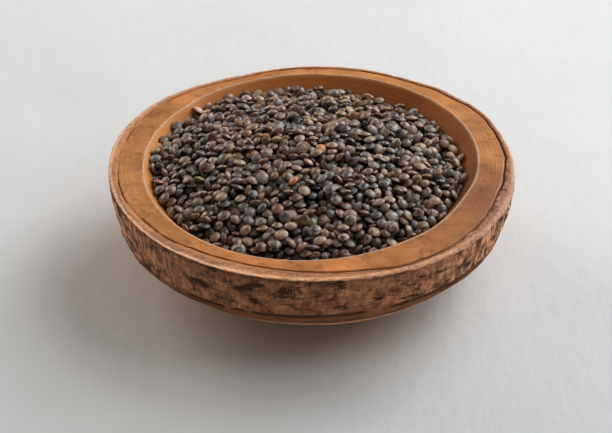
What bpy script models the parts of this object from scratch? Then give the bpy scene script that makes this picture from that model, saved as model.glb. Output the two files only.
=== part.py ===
"""A hand-worked wooden bowl with a thick rim, heaped with small dry green lentils.

Metres, +Z up. The bowl stands on its flat foot at Z = 0 and the origin is the middle of the bowl's
outline. Two solids: the bowl, and the heap of lentils out to its uneven top.
"""

import math

import bmesh
import bpy
from mathutils import Vector, noise

MM = 0.001

# Driving dimensions, in millimetres
BOWL_HEIGHT = 44.0
OPENING_RADIUS = 66.0
LIP_RADIUS = 78.3
FOOT_RADIUS = 36.0
HOLLOW_DEPTH = 30.0
WALL_LEAN = math.radians(36)
WALL_DEPTH = 8.0
KNEE_PULL = 14.0
FLOOR_PULL_RADIUS = 34.0
INNER_EDGE_ROUND = 0.5
GROOVE_RADIUS = 75.0
GROOVE_DEPTH = 0.9
GROOVE_HALF_WIDTH = 0.6
RIM_WEAR = 0.1
LIP_ROUND = 1.7
LIP_INSET = 1.6
LIP_DROP = 1.9
LIP_START = 75
SIDE_GROOVE_DROP = 18.0

# The rim's flat and groove: (half widths from the groove's middle, share of its depth)
GROOVE_PROFILE = ((-2.6, 0), (-1, 0), (-0.35, 1), (0.35, 1), (1, 0))
# The outside below the lip: each curve's two pulls and its end, as (radius, drop below the rim)
SIDE_CURVE = ((78.4, 8.0), (76.6, 14.0), (75.9, 17.1))
SIDE_GROOVE = ((75.0, SIDE_GROOVE_DROP), (75.5, 19.0))
BELLY_CURVE = ((75.1, 22.0), (72.4, 24.8), (70.1, 26.2))
UNDER_CURVE = ((64.0, 30.0), (46.0, 38.6), (36.8, 43.3))

# The heap of lentils, heights counted from the rim
HEAP_PEAK = 9.5
HEAP_DROP = 14.45
HEAP_SPREAD = 62.0
HEAP_POWER = 1.7
HEAP_LEAN = -0.0265
HEAP_GAP = 0.3
BUMP_HEIGHT = 1.1
BUMP_SIZE = 4.6
BUMP_FADE = 5.0
CONTACT_STEPS = 12

ROUND_STEPS = 96
EDGE_STEPS = 3
LIP_STEPS = 4
SIDE_STEPS = 4
BELLY_STEPS = 3
UNDER_STEPS = 4
FLOOR_STEPS = 8
HEAP_STEPS = 80
HEAP_RINGS = 13

# How far from round the bowl was worked: (waves around, cosine share, sine share) of the radius
OPENING_WAVES = ((2, -0.0116, 0.0198), (3, 0.004, 0.0057))
OUTLINE_WAVES = ((2, 0.0169, 0.0042), (3, -0.0033, 0.0048), (4, -0.0041, -0.002))
# Local flats and bulges: (direction in degrees, spread in degrees, how far out in millimetres)
OPENING_BENDS = ((-25, 9, -0.6), (-47, 8, 0.5), (143, 6, -0.5))
OUTLINE_BENDS = ((28, 9, 0.7), (39, 4, -0.6), (58, 12, -1.1), (88, 14, 0.7), (119, 17, -1.7))
GROOVE_BENDS = ((-110, 32, -2.8), (-60, 12, 1.6), (-20, 14, -1.5), (25, 15, 0.6))
BELLY_BENDS = ((-50, 15, -1.2), (-125, 12, -0.6))
# The side is taller on the left than on the right: the lip's edge rises there and the groove sinks
SWAY_DIRECTION = math.radians(190)
LIP_SWAY = 1.1
SIDE_GROOVE_SWAY = -1.2
# The opening's centre as seen from the middle of the outline
OPENING_SHIFT = Vector((-0.71, 2.12))


def out_of_round(angle, waves):
    return 1 + sum(c * math.cos(n * angle) + s * math.sin(n * angle) for n, c, s in waves)


def bend(angle, bends):
    """How far out the local flats and bulges move the edge in this direction."""
    total = 0.0
    for direction, spread, reach in bends:
        away = (math.degrees(angle) - direction + 180) % 360 - 180
        total += reach * math.exp(-((away / spread) ** 2))
    return total


def opening_point(radius, angle):
    """A point of the hollow's side, in plan, for the nominal radius."""
    share = radius / OPENING_RADIUS
    reach = radius * out_of_round(angle, OPENING_WAVES) + share * bend(angle, OPENING_BENDS)
    return OPENING_SHIFT + reach * Vector((math.cos(angle), math.sin(angle)))


def outline_point(radius, angle):
    """A point of the outside, in plan, for the nominal radius. It is rounder towards the foot."""
    share = (radius / LIP_RADIUS) ** 3
    wobble = share * (out_of_round(angle, OUTLINE_WAVES) - 1)
    reach = radius * (1 + wobble) + share * bend(angle, OUTLINE_BENDS)
    return reach * Vector((math.cos(angle), math.sin(angle)))


def groove_point(radius, angle):
    """A point beside the groove on the rim, which wanders more than the outline does."""
    return outline_point(radius + bend(angle, GROOVE_BENDS), angle)


def belly_point(radius, angle):
    """A point of the outside below the side's groove."""
    return outline_point(radius + bend(angle, BELLY_BENDS), angle)


def directions(steps):
    return [2 * math.pi * k / steps for k in range(steps)]


def outline_middle():
    """The middle of the outline's box, which is where the origin goes."""
    lip = [outline_point(LIP_RADIUS, angle) for angle in directions(ROUND_STEPS)]
    xs = [p.x for p in lip]
    ys = [p.y for p in lip]
    return Vector(((min(xs) + max(xs)) / 2, (min(ys) + max(ys)) / 2))


MIDDLE = outline_middle()


def curve(start, start_pull, end_pull, end, count):
    """Points along a cubic curve, without its start."""
    found = []
    for k in range(1, count + 1):
        t = k / count
        shares = ((1 - t) ** 3, 3 * t * (1 - t) ** 2, 3 * t * t * (1 - t), t ** 3)
        parts = zip(start, start_pull, end_pull, end)
        found.append(tuple(sum(s * p for s, p in zip(shares, part)) for part in parts))
    return found


def lowered(points):
    """Points given as (radius, drop below the rim), with their heights instead."""
    return [(radius, BOWL_HEIGHT - drop) for radius, drop in points]


def arc(middle, size, first, last, count):
    """Points of a round edge, both ends included, with its directions in degrees."""
    found = []
    for k in range(count):
        turn = math.radians(first + (last - first) * k / (count - 1))
        found.append((middle[0] + size * math.cos(turn), middle[1] + size * math.sin(turn)))
    return found


def hollow_side(inset=0.0):
    """The hollow from its rim edge down to its middle: (nominal radius, height)."""
    lean = Vector((-math.sin(WALL_LEAN), -math.cos(WALL_LEAN)))
    top = Vector((OPENING_RADIUS - inset / math.cos(WALL_LEAN), BOWL_HEIGHT))
    knee = top + lean * (WALL_DEPTH / math.cos(WALL_LEAN))
    floor = BOWL_HEIGHT - HOLLOW_DEPTH + inset
    pulls = (knee + lean * KNEE_PULL, (FLOOR_PULL_RADIUS, floor))
    return [tuple(top), tuple(knee)] + curve(knee, *pulls, (0, floor), FLOOR_STEPS)


def hollow_radius(height, inset=0.0):
    """The nominal radius of the hollow's leaning wall at a height near the rim."""
    return OPENING_RADIUS - inset / math.cos(WALL_LEAN) - (BOWL_HEIGHT - height) * math.tan(WALL_LEAN)


def side_sway(drop):
    """How far the side's features ride up on the left, for a depth below the rim."""
    share = min(1.0, drop / SIDE_GROOVE_DROP)
    return min(1.0, drop) * (LIP_SWAY + (SIDE_GROOVE_SWAY - LIP_SWAY) * share)


def bowl_rings():
    """The bowl's rings from the middle of the hollow, over the rim, to the middle of the foot.

    Each is how it lies in plan, its nominal radius, its height and how far it sways.
    """
    wall = list(reversed(hollow_side()))[1:-1]
    edge = arc((OPENING_RADIUS + INNER_EDGE_ROUND, BOWL_HEIGHT - INNER_EDGE_ROUND),
               INNER_EDGE_ROUND, 180 - math.degrees(WALL_LEAN) / 2, 90, EDGE_STEPS)
    rings = [(opening_point, radius, height, 0) for radius, height in wall + edge]
    for across, fall in GROOVE_PROFILE:
        radius = GROOVE_RADIUS + across * GROOVE_HALF_WIDTH
        rings.append((groove_point, radius, BOWL_HEIGHT - RIM_WEAR - fall * GROOVE_DEPTH, 0))
    lip = arc((LIP_RADIUS - LIP_INSET, BOWL_HEIGHT - LIP_DROP), LIP_ROUND, LIP_START, 0, LIP_STEPS)
    side = curve(lip[-1], *lowered(SIDE_CURVE), SIDE_STEPS)
    groove = lowered(SIDE_GROOVE)
    belly = curve(groove[-1], *lowered(BELLY_CURVE), BELLY_STEPS)
    under = curve(belly[-1], *lowered(UNDER_CURVE), UNDER_STEPS)
    for radius, height in lip + side + groove:
        rings.append((outline_point, radius, height, side_sway(BOWL_HEIGHT - height)))
    for k, (radius, height) in enumerate(belly):
        sway = SIDE_GROOVE_SWAY * (1 - (k + 1) / BELLY_STEPS)
        rings.append((belly_point, radius, height, sway))
    rings += [(belly_point, radius, height, 0) for radius, height in under]
    rings.append((outline_point, FOOT_RADIUS, 0.0, 0))
    return rings


def swayed(height, sway, angle):
    return height + sway * math.cos(angle - SWAY_DIRECTION)


def heap_height(place):
    """The smooth top of the heap over a place in plan."""
    away = (place - OPENING_SHIFT).length / HEAP_SPREAD
    return BOWL_HEIGHT + HEAP_PEAK - HEAP_DROP * away ** HEAP_POWER + HEAP_LEAN * place.x


def bump(place):
    """The uneven top that lying lentils leave, fading out at the wall."""
    away = (place - OPENING_SHIFT).length / HEAP_SPREAD
    fade = min(1.0, max(0.0, BUMP_FADE * (1 - away)))
    return BUMP_HEIGHT * fade * noise.noise(Vector((place.x, place.y, 0)) / BUMP_SIZE)


def contact(angle):
    """Where the heap's top meets the wall, as nominal radius and height."""
    height = BOWL_HEIGHT
    for _ in range(CONTACT_STEPS):
        radius = hollow_radius(height, HEAP_GAP)
        height = heap_height(opening_point(radius, angle))
    return radius, height


def placed(plan, height):
    return Vector((plan.x - MIDDLE.x, plan.y - MIDDLE.y, height)) * MM


def skinned(name, rings, first_middle, last_middle):
    """A closed mesh over rings of points, with a middle point at each end."""
    bm = bmesh.new()
    loops = [[bm.verts.new(point) for point in ring] for ring in rings]
    steps = len(loops[0])
    start = bm.verts.new(first_middle)
    end = bm.verts.new(last_middle)
    for k in range(steps):
        after = (k + 1) % steps
        bm.faces.new((start, loops[0][k], loops[0][after]))
        bm.faces.new((end, loops[-1][after], loops[-1][k]))
        for low, high in zip(loops, loops[1:]):
            bm.faces.new((low[k], high[k], high[after], low[after]))
    bmesh.ops.recalc_face_normals(bm, faces=bm.faces)
    mesh = bpy.data.meshes.new(name)
    bm.to_mesh(mesh)
    bm.free()
    mesh.shade_smooth()
    return mesh


def material(name, colour, roughness):
    made = bpy.data.materials.new(name)
    made.use_nodes = True
    shader = made.node_tree.nodes["Principled BSDF"]
    shader.inputs["Base Color"].default_value = (*colour, 1)
    shader.inputs["Roughness"].default_value = roughness
    shader.inputs["Metallic"].default_value = 0.0
    return made


def add(name, mesh, finish):
    mesh.materials.append(finish)
    made = bpy.data.objects.new(name, mesh)
    bpy.context.scene.collection.objects.link(made)
    return made


def make_bowl():
    rings = []
    for place, radius, height, sway in bowl_rings():
        rings.append([placed(place(radius, angle), swayed(height, sway, angle))
                      for angle in directions(ROUND_STEPS)])
    hollow = placed(OPENING_SHIFT, BOWL_HEIGHT - HOLLOW_DEPTH)
    mesh = skinned("bowl", rings, hollow, placed(Vector((0, 0)), 0.0))
    return add("bowl", mesh, material("orange_brown_wood", (0.42, 0.19, 0.07), 0.55))


def make_lentils():
    """The heap: its bumpy top from the middle outwards, then down the wall to the hollow's floor."""
    angles = directions(HEAP_STEPS)
    edges = [contact(angle) for angle in angles]
    rings = []
    for k in range(1, HEAP_RINGS + 1):
        ring = []
        for angle, (edge, _) in zip(angles, edges):
            plan = opening_point(edge * k / HEAP_RINGS, angle)
            ring.append(placed(plan, heap_height(plan) + bump(plan)))
        rings.append(ring)
    for radius, height in hollow_side(HEAP_GAP)[1:-1]:
        rings.append([placed(opening_point(radius, angle), height) for angle in angles])
    top = placed(OPENING_SHIFT, heap_height(OPENING_SHIFT) + bump(OPENING_SHIFT))
    bottom = placed(OPENING_SHIFT, BOWL_HEIGHT - HOLLOW_DEPTH + HEAP_GAP)
    mesh = skinned("lentils", rings, top, bottom)
    return add("lentils", mesh, material("grey_green_lentils", (0.09, 0.075, 0.055), 0.5))


def main():
    for old in list(bpy.data.objects):
        bpy.data.objects.remove(old)
    make_bowl()
    make_lentils()


main()
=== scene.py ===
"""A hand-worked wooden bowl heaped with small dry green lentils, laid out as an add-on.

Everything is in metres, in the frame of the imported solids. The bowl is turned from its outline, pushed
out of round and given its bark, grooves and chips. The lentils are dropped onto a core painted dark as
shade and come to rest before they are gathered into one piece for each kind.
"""

import math

import bpy
import numpy as np
from bpy.props import FloatProperty, FloatVectorProperty, IntProperty, PointerProperty
from mathutils import Matrix, Vector, noise


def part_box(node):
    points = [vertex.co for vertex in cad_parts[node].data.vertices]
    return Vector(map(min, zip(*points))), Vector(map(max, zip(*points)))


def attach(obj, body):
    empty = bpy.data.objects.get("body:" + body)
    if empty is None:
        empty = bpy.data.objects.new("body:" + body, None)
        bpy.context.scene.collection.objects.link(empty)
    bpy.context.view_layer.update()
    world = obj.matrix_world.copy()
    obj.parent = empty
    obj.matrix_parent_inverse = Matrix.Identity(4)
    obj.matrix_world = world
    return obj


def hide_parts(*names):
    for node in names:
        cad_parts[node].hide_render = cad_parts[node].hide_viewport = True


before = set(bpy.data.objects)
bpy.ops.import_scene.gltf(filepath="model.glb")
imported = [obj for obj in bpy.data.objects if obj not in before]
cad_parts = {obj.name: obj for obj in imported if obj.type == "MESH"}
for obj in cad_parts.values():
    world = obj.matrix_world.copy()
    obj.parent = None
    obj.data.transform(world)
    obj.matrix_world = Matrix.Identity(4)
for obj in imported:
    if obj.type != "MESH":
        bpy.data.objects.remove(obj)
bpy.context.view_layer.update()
# The height of the flat rim, which is the top of the bowl's own solid
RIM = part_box("bowl")[1].z

bl_info = {
    "name": "Lentil Bowl",
    "version": (1, 0, 0),
    "blender": (4, 5, 0),
    "location": "3D View > Sidebar > Lentil Bowl",
    "description": "Makes a worn wooden bowl heaped with dry green lentils",
    "category": "Add Mesh",
}

MM = 0.001

# How far from round the bowl was worked: (waves around, cosine share, sine share) of the radius
OPENING_WAVES = ((2, -0.0116, 0.0198), (3, 0.004, 0.0057))
OUTLINE_WAVES = ((2, 0.0169, 0.0042), (3, -0.0033, 0.0048), (4, -0.0041, -0.002))
# Local flats and bulges: (direction in degrees, spread in degrees, how far out in millimetres)
OPENING_BENDS = ((-25, 9, -0.6), (-47, 8, 0.5), (143, 6, -0.5))
OUTLINE_BENDS = ((28, 9, 0.7), (39, 4, -0.6), (58, 12, -1.1), (88, 14, 0.7), (119, 17, -1.7))
GROOVE_BENDS = ((-110, 32, -2.8), (-60, 12, 1.6), (-20, 14, -1.5), (25, 15, 0.6))
BELLY_BENDS = ((-50, 15, -1.2), (-125, 12, -0.6))
# The side is taller on the left than on the right: the lip's edge rises there and the groove sinks
SWAY_DIRECTION = math.radians(190)
LIP_SWAY = 1.1 * MM
SIDE_GROOVE_SWAY = -1.2 * MM
SIDE_GROOVE_DROP = 18 * MM
BELLY_DROP = 26.2 * MM
EDGE_ROUND = 0.5 * MM
GROOVE_HALF = 0.45 * MM
# The groove on the rim in section: (how far across in half widths, share of the depth)
GROOVE_SECTION = ((-0.6, 0.4), (-0.25, 0.9), (0, 1), (0.25, 0.9), (0.6, 0.45), (1, 0.08), (1.6, 0))
LIP_ROUND = 0.9 * MM
# The opening's centre as seen from the middle of the outline
OPENING_SHIFT = np.array((-0.71, 2.12)) * MM
# How far the hollow's wall runs straight, from the rim down
WALL_STRAIGHT = 8 * MM
# The free space between the core and the hollow's wall
CORE_INSET = 0.4 * MM
# The nominal reach of the heap, at which it has dropped all the way
HEAP_REACH = 62 * MM

# The lentils settle in a world this many times their real size, which suits the solver
SETTLING_SCALE = 200.0
SETTLING_GRAVITY = 20
# How far in millimetres the first layer starts above the core, and each layer above the last
FIRST_LIFT = 2.4
LAYER_LIFT = 3.2
LOOSE_BODY = {"collision_shape": "CONVEX_HULL", "friction": 0.8, "restitution": 0.0, "mass": 0.05,
              "use_margin": True, "collision_margin": 0.01, "linear_damping": 0.2, "angular_damping": 0.7}
# One lentil shape: name, width and thickness shares, ovalness, how blunt its edge is, dent depth
LENTIL_SHAPES = (
    ("plump", 0.96, 1.10, 1.00, 1.35, 0.00),
    ("flat", 1.05, 0.88, 1.02, 1.0, 0.00),
    ("oval", 1.00, 1.00, 1.09, 1.1, 0.00),
    ("sharp", 1.03, 0.96, 0.98, 0.75, 0.00),
    ("dented", 1.00, 1.00, 1.04, 1.0, 0.16),
    ("lopsided", 1.00, 1.04, 0.93, 1.1, 0.07),
)
# One kind of lentil: name, share of the heap, how dark its speckles and how brown its edge are
LENTIL_KINDS = (
    ("slate", 0.28, 0.9, 0.6),
    ("olive", 0.25, 0.9, 0.65),
    ("brown", 0.255, 0.75, 0.7),
    ("speckled", 0.19, 1.0, 0.6),
    ("russet", 0.025, 0.5, 0.4),
)
# The brown edge of a dark and of a pale lentil, and the speckles
DARK_EDGE = (0.19, 0.075, 0.038)
PALE_EDGE = (0.5, 0.22, 0.12)
SPECKLE = (0.014, 0.011, 0.01)
# A painted highlight along the top of the lip's round
CREST_HIGHLIGHT = (0.9, 0.5, 0.29)

# The broad window behind, as soft lights: (direction, height in degrees, watts, colour)
PANELS = (
    (45, 20, 10.1, (0.97, 0.99, 1.0)),
    (135, 20, 8.0, (1.0, 0.93, 0.84)),
    (0, 45, 5.5, (0.97, 1.0, 0.96)),
    (45, 45, 6.0, (0.8, 0.89, 1.0)),
)


def length_setting(name, description, millimetres):
    return FloatProperty(name=name, description=description, default=millimetres * MM,
                         unit="LENGTH", precision=4)


def angle_setting(name, description, degrees):
    return FloatProperty(name=name, description=description, default=math.radians(degrees), subtype="ANGLE")


def colour_setting(name, description, default):
    return FloatVectorProperty(name=name, description=description, default=default, size=3, subtype="COLOR")


class BowlSettings(bpy.types.PropertyGroup):
    """Sizes and colours of the wooden bowl."""

    opening_radius: length_setting("Opening radius", "From the middle to the rim's inner edge", 66)
    lip_radius: length_setting("Lip radius", "From the middle to the outside of the lip", 78.3)
    groove_radius: length_setting("Groove radius", "From the middle to the groove on the rim", 75)
    belly_radius: length_setting("Belly radius", "Where the side turns under", 70.1)
    foot_radius: length_setting("Foot radius", "Radius of the flat foot", 36)
    hollow_depth: length_setting("Hollow depth", "From the rim down to the hollow's floor", 30)
    wall_lean: angle_setting("Wall lean", "How far the hollow's wall leans from upright", 36)
    groove_depth: length_setting("Groove depth", "Depth of the groove scribed on the rim", 0.9)
    steps: IntProperty(name="Steps around", description="Facets around the bowl", default=560, min=64)
    rim_colour: colour_setting("Rim", "Oiled wood of the rim", (0.59, 0.232, 0.068))
    hollow_colour: colour_setting("Hollow", "Smooth wood inside", (0.44, 0.14, 0.035))
    lip_colour: colour_setting("Lip", "Pale wood where the lip is worn", (0.64, 0.305, 0.15))
    bark_colour: colour_setting("Bark", "Rough wood of the side", (0.37, 0.145, 0.065))
    # This dark colour paints the bark's blotches and the grooves' lines, and also painted shade: the bark's
    # cracks and the line under the lip
    stain_and_shade_colour: colour_setting("Stain", "Dark bark and the dirt in the grooves", (0.05, 0.021, 0.012))
    # This pale colour paints the worn edge of the hollow with its highlight, and the chalky marks on the left
    # rim
    wear_and_highlight_colour: colour_setting("Wear", "Pale rubbed edge of the hollow", (0.74, 0.50, 0.34))
    belly_colour: colour_setting("Belly", "Reddish wood under the side's groove", (0.32, 0.12, 0.055))


class LentilSettings(bpy.types.PropertyGroup):
    """Sizes and colours of the lentils and the heap."""

    width: length_setting("Width", "Mean width of a lentil", 4.5)
    thickness: length_setting("Thickness", "Mean thickness of a lentil", 2.3)
    spread: FloatProperty(name="Size spread", description="How unequal the lentils are",
                          default=0.075, min=0, max=0.3)
    peak: length_setting("Peak", "How far the heap stands above the rim", 9.5)
    drop: length_setting("Drop", "From the heap's peak down to its edge", 12.9)
    lean: FloatProperty(name="Lean", description="How the heap slopes down to the right", default=-0.034)
    lean_back: FloatProperty(name="Lean back", description="How the heap slopes down to the back",
                             default=-0.018)
    cover: length_setting("Cover", "Depth of loose lentils over the core", 5.9)
    layers: IntProperty(name="Layers", description="Layers dropped onto the core", default=4, min=1)
    frames: IntProperty(name="Settling frames", description="How long the lentils settle", default=46, min=2)
    seed: IntProperty(name="Seed", description="Another seed gives another heap", default=3)
    slate: colour_setting("Slate", "Grey-green lentils", (0.19, 0.165, 0.15))
    olive: colour_setting("Olive", "Olive lentils", (0.30, 0.205, 0.10))
    brown: colour_setting("Brown", "Dark brown lentils", (0.23, 0.135, 0.086))
    speckled: colour_setting("Speckled", "Pale marbled lentils", (0.42, 0.27, 0.17))
    russet: colour_setting("Russet", "Reddish lentils", (0.42, 0.15, 0.05))


class StageSettings(bpy.types.PropertyGroup):
    """The camera, the light and the floor."""

    distance: length_setting("Camera distance", "From the middle of the rim", 650)
    elevation: angle_setting("Elevation", "How steeply the camera looks down on the rim", 32.7)
    aim_below: angle_setting("Aim below", "How far below the rim's middle the camera aims", 2.0)
    aim_left: angle_setting("Aim left", "How far left of the rim's middle the camera aims", 0.19)
    lens: FloatProperty(name="Lens", description="Focal length in millimetres on a 36 mm wide sensor",
                        default=97.4)
    panel_size: length_setting("Panel size", "Width of each round soft light", 900)
    panel_distance: length_setting("Panel distance", "From the bowl to each soft light", 1300)
    room: FloatProperty(name="Room light", description="Strength of the light from all around", default=0.2)
    floor_colour: colour_setting("Floor", "Pale plaster", (0.74, 0.73, 0.72))


# ---- Shape of the bowl ----

def facing(angle, direction, spread):
    """1 on the side of the bowl that faces a direction, fading away from it. In degrees."""
    away = (np.degrees(angle) - direction + 180) % 360 - 180
    return np.exp(-((away / spread) ** 2))


def out_of_round(angle, waves):
    return 1 + sum(c * np.cos(n * angle) + s * np.sin(n * angle) for n, c, s in waves)


def bend(angle, bends):
    """How far out the local flats and bulges move an edge in these directions."""
    total = 0.0
    for direction, spread, reach in bends:
        total = total + reach * MM * facing(angle, direction, spread)
    return total


def outward(angle, reach):
    return np.stack([reach * np.cos(angle), reach * np.sin(angle)], axis=-1)


def opening_place(radius, angle, bowl):
    """Where the hollow's side lies in plan, for the nominal radius."""
    share = radius / bowl.opening_radius
    reach = radius * out_of_round(angle, OPENING_WAVES) + share * bend(angle, OPENING_BENDS)
    return OPENING_SHIFT + outward(angle, reach)


def outline_place(radius, angle, bowl):
    """Where the outside lies in plan, for the nominal radius. It is rounder towards the foot."""
    share = (radius / bowl.lip_radius) ** 3
    wobble = 1 + share * (out_of_round(angle, OUTLINE_WAVES) - 1)
    return outward(angle, radius * wobble + share * bend(angle, OUTLINE_BENDS))


def groove_place(radius, angle, bowl):
    """Where the rim's groove lies, which wanders more than the outline does."""
    return outline_place(radius + np.minimum(bend(angle, GROOVE_BENDS), 0.9 * MM), angle, bowl)


def rim_place(radius, angle, bowl):
    """Where the flat rim lies, between the hollow's edge and the groove."""
    inner, outer = bowl.opening_radius + EDGE_ROUND, bowl.groove_radius - GROOVE_HALF
    share = ((radius - inner) / (outer - inner))[..., None]
    return (1 - share) * opening_place(inner, angle, bowl) + share * groove_place(outer, angle, bowl)


def shelf_place(radius, angle, bowl):
    """Where the strip between the groove and the lip lies."""
    inner, outer = bowl.groove_radius + 1.6 * GROOVE_HALF, bowl.lip_radius - LIP_ROUND
    share = ((radius - inner) / (outer - inner))[..., None]
    return (1 - share) * groove_place(inner, angle, bowl) + share * outline_place(outer, angle, bowl)


def belly_place(radius, angle, bowl):
    """Where the outside lies below the side's groove."""
    return outline_place(radius + bend(angle, BELLY_BENDS), angle, bowl)


def outline_middle(bowl):
    """The middle of the outline's box, which is the frame's origin."""
    lip = outline_place(bowl.lip_radius, np.linspace(0, 2 * math.pi, 96, endpoint=False), bowl)
    return (lip.min(axis=0) + lip.max(axis=0)) / 2


def curve(start, start_pull, end_pull, end, count):
    """Points along a cubic curve, without its start."""
    t = np.arange(1, count + 1)[:, None] / count
    ends = (1 - t) ** 3 * np.array(start) + t ** 3 * np.array(end)
    pulls = 3 * t * (1 - t) ** 2 * np.array(start_pull) + 3 * t ** 2 * (1 - t) * np.array(end_pull)
    return [tuple(p) for p in ends + pulls]


def straight(start, end, count):
    """Points along a line, without its start."""
    thirds = [np.array(start) + (np.array(end) - np.array(start)) * k / 3 for k in (1, 2, 3)]
    return curve(start, *thirds, count)


def arc(middle, size, first, last, count):
    """Points of a round edge, both ends included, with its directions in degrees."""
    turns = np.radians(np.linspace(first, last, count))
    return [(middle[0] + size * math.cos(a), middle[1] + size * math.sin(a)) for a in turns]


def hollow_side(bowl, inset=0.0, fine=1):
    """The hollow from its rim edge down to its middle: (nominal radius, height)."""
    lean = np.array((-math.sin(bowl.wall_lean), -math.cos(bowl.wall_lean)))
    top = np.array((bowl.opening_radius - inset / math.cos(bowl.wall_lean), RIM))
    knee = top + lean * WALL_STRAIGHT / math.cos(bowl.wall_lean)
    floor = RIM - bowl.hollow_depth + inset
    bottom = curve(knee, knee + lean * 14 * MM, (34 * MM, floor), (0, floor), 8 * fine)
    return [tuple(top)] + straight(top, knee, 8 * fine) + bottom


def wall_radius(height, bowl, inset=0.0):
    """The nominal radius of the hollow's leaning wall at a height near the rim."""
    reach = bowl.opening_radius - inset / math.cos(bowl.wall_lean)
    return reach - (RIM - height) * math.tan(bowl.wall_lean)


def bowl_outline(bowl):
    """The bowl's outline from the hollow's middle over the rim to the foot's: (zone, radius, height)."""
    lip_radius, groove = bowl.lip_radius, bowl.groove_radius
    wall = list(reversed(hollow_side(bowl, fine=2)))[:-1]
    edge = arc((bowl.opening_radius + EDGE_ROUND, RIM - EDGE_ROUND), EDGE_ROUND,
               180 - math.degrees(bowl.wall_lean) / 2, 90, 4)
    flat = straight(edge[-1], (groove - GROOVE_HALF, RIM - 0.05 * MM), 20)
    scribe = [(groove + across * GROOVE_HALF, RIM - 0.05 * MM - fall * bowl.groove_depth)
              for across, fall in GROOVE_SECTION]
    shelf = straight(scribe[-1], (lip_radius - LIP_ROUND, RIM - 0.3 * MM), 5)
    lip = arc((lip_radius - LIP_ROUND, RIM - 0.35 * MM - LIP_ROUND), LIP_ROUND + 0.05 * MM, 80, 0, 6)
    side = curve(lip[-1], (lip_radius + 0.1 * MM, RIM - 8 * MM), (76.6 * MM, RIM - 14 * MM),
                 (75.9 * MM, RIM - SIDE_GROOVE_DROP + 0.9 * MM), 30)
    notch = [(75.5 * MM, RIM - SIDE_GROOVE_DROP + 0.4 * MM), (75.0 * MM, RIM - SIDE_GROOVE_DROP),
             (75.05 * MM, RIM - SIDE_GROOVE_DROP - 0.4 * MM), (75.5 * MM, RIM - SIDE_GROOVE_DROP - MM)]
    belly = curve(notch[-1], (75.1 * MM, RIM - 22 * MM), (72.4 * MM, RIM - 24.8 * MM),
                  (bowl.belly_radius, RIM - BELLY_DROP), 14)
    under = curve(belly[-1], (64 * MM, 14 * MM), (46 * MM, 5.4 * MM),
                  (bowl.foot_radius + 0.8 * MM, 0.7 * MM), 22)
    foot = straight((bowl.foot_radius, 0), (0, 0), 6)
    zones = {"hollow": wall, "edge": edge, "rim": flat, "scribe": scribe, "shelf": shelf, "lip": lip,
             "side": side, "notch": notch, "belly": belly, "under": under,
             "foot": [(bowl.foot_radius, 0)] + foot}
    return [(zone, *point) for zone, points in zones.items() for point in points]


# Where the points of each zone go in plan. The zones not named follow the outline
ZONE_PLACES = {"hollow": opening_place, "edge": opening_place, "rim": rim_place, "scribe": groove_place,
               "shelf": shelf_place, "belly": belly_place, "under": belly_place}


def side_sway(zone, height):
    """How far a height on the outside rides up on the left."""
    drop = RIM - height
    if zone in ("lip", "side", "notch"):
        share = min(1.0, drop / SIDE_GROOVE_DROP)
        return min(1.0, drop / MM) * (LIP_SWAY + (SIDE_GROOVE_SWAY - LIP_SWAY) * share)
    if zone == "belly":
        return SIDE_GROOVE_SWAY * (1 - min(1.0, (drop - SIDE_GROOVE_DROP) / (BELLY_DROP - SIDE_GROOVE_DROP)))
    return 0.0


def deselect_all():
    for piece in bpy.context.selected_objects:
        piece.select_set(False)


def make_active(piece):
    deselect_all()
    piece.select_set(True)
    bpy.context.view_layer.objects.active = piece


def turned(name, points, steps):
    """Draws an outline by extruding one point along it, and turns it about the upright axis."""
    deselect_all()
    bpy.ops.mesh.primitive_plane_add(size=MM)
    piece = bpy.context.object
    piece.name = name
    piece.data.name = name
    bpy.ops.object.mode_set(mode="EDIT")
    bpy.ops.mesh.select_all(action="SELECT")
    bpy.ops.mesh.merge(type="CENTER")
    bpy.ops.transform.translate(value=(points[0][0], 0, points[0][1]))
    for before, after in zip(points, points[1:]):
        step = (after[0] - before[0], 0, after[1] - before[1])
        bpy.ops.mesh.extrude_region_move(TRANSFORM_OT_translate={"value": step})
    bpy.ops.mesh.select_all(action="SELECT")
    bpy.ops.mesh.spin(steps=steps, angle=2 * math.pi, center=(0, 0, 0), axis=(0, 0, 1))
    bpy.ops.mesh.select_all(action="SELECT")
    bpy.ops.mesh.remove_doubles(threshold=0.002 * MM)
    bpy.ops.mesh.normals_make_consistent(inside=False)
    bpy.ops.object.mode_set(mode="OBJECT")
    bpy.ops.object.shade_smooth()
    return piece


def points_of(piece):
    found = np.empty(len(piece.data.vertices) * 3)
    piece.data.vertices.foreach_get("co", found)
    return found.reshape(-1, 3)


def move_points(piece, points):
    piece.data.vertices.foreach_set("co", points.ravel())
    piece.data.update()


def nearest_of_outline(points, outline):
    """For each point of a turned piece, which point of the outline it was turned from."""
    radius = np.hypot(points[:, 0], points[:, 1])
    known = np.array(outline)
    nearest = np.zeros(len(points), int)
    for start in range(0, len(points), 4000):
        part = slice(start, start + 4000)
        away = (radius[part, None] - known[:, 0]) ** 2 + (points[part, 2, None] - known[:, 1]) ** 2
        nearest[part] = away.argmin(axis=1)
    return nearest


def grain(points, stretch, octaves=3):
    """Smooth noise from -1 to 1 over points, with features of one size in millimetres or of three sizes
    along X, Y and Z."""
    scaled = points / (np.array(stretch) * MM)
    return np.array([noise.fractal(Vector(p), 0.8, 2.1, octaves) for p in scaled])


def smooth_step(value, low, high):
    share = np.clip((value - low) / (high - low), 0, 1)
    return share * share * (3 - 2 * share)


def set_attributes(piece, **attributes):
    """Marks each point of a piece with a number for each name."""
    for name, values in attributes.items():
        layer = piece.data.attributes.new(name, "FLOAT", "POINT")
        layer.data.foreach_set("value", np.asarray(values, dtype=np.float32))


def band(along, first, last, soft):
    """1 between two places along the outline, fading at both."""
    return smooth_step(along, first - soft, first + soft) * (1 - smooth_step(along, last - soft, last + soft))


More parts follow.
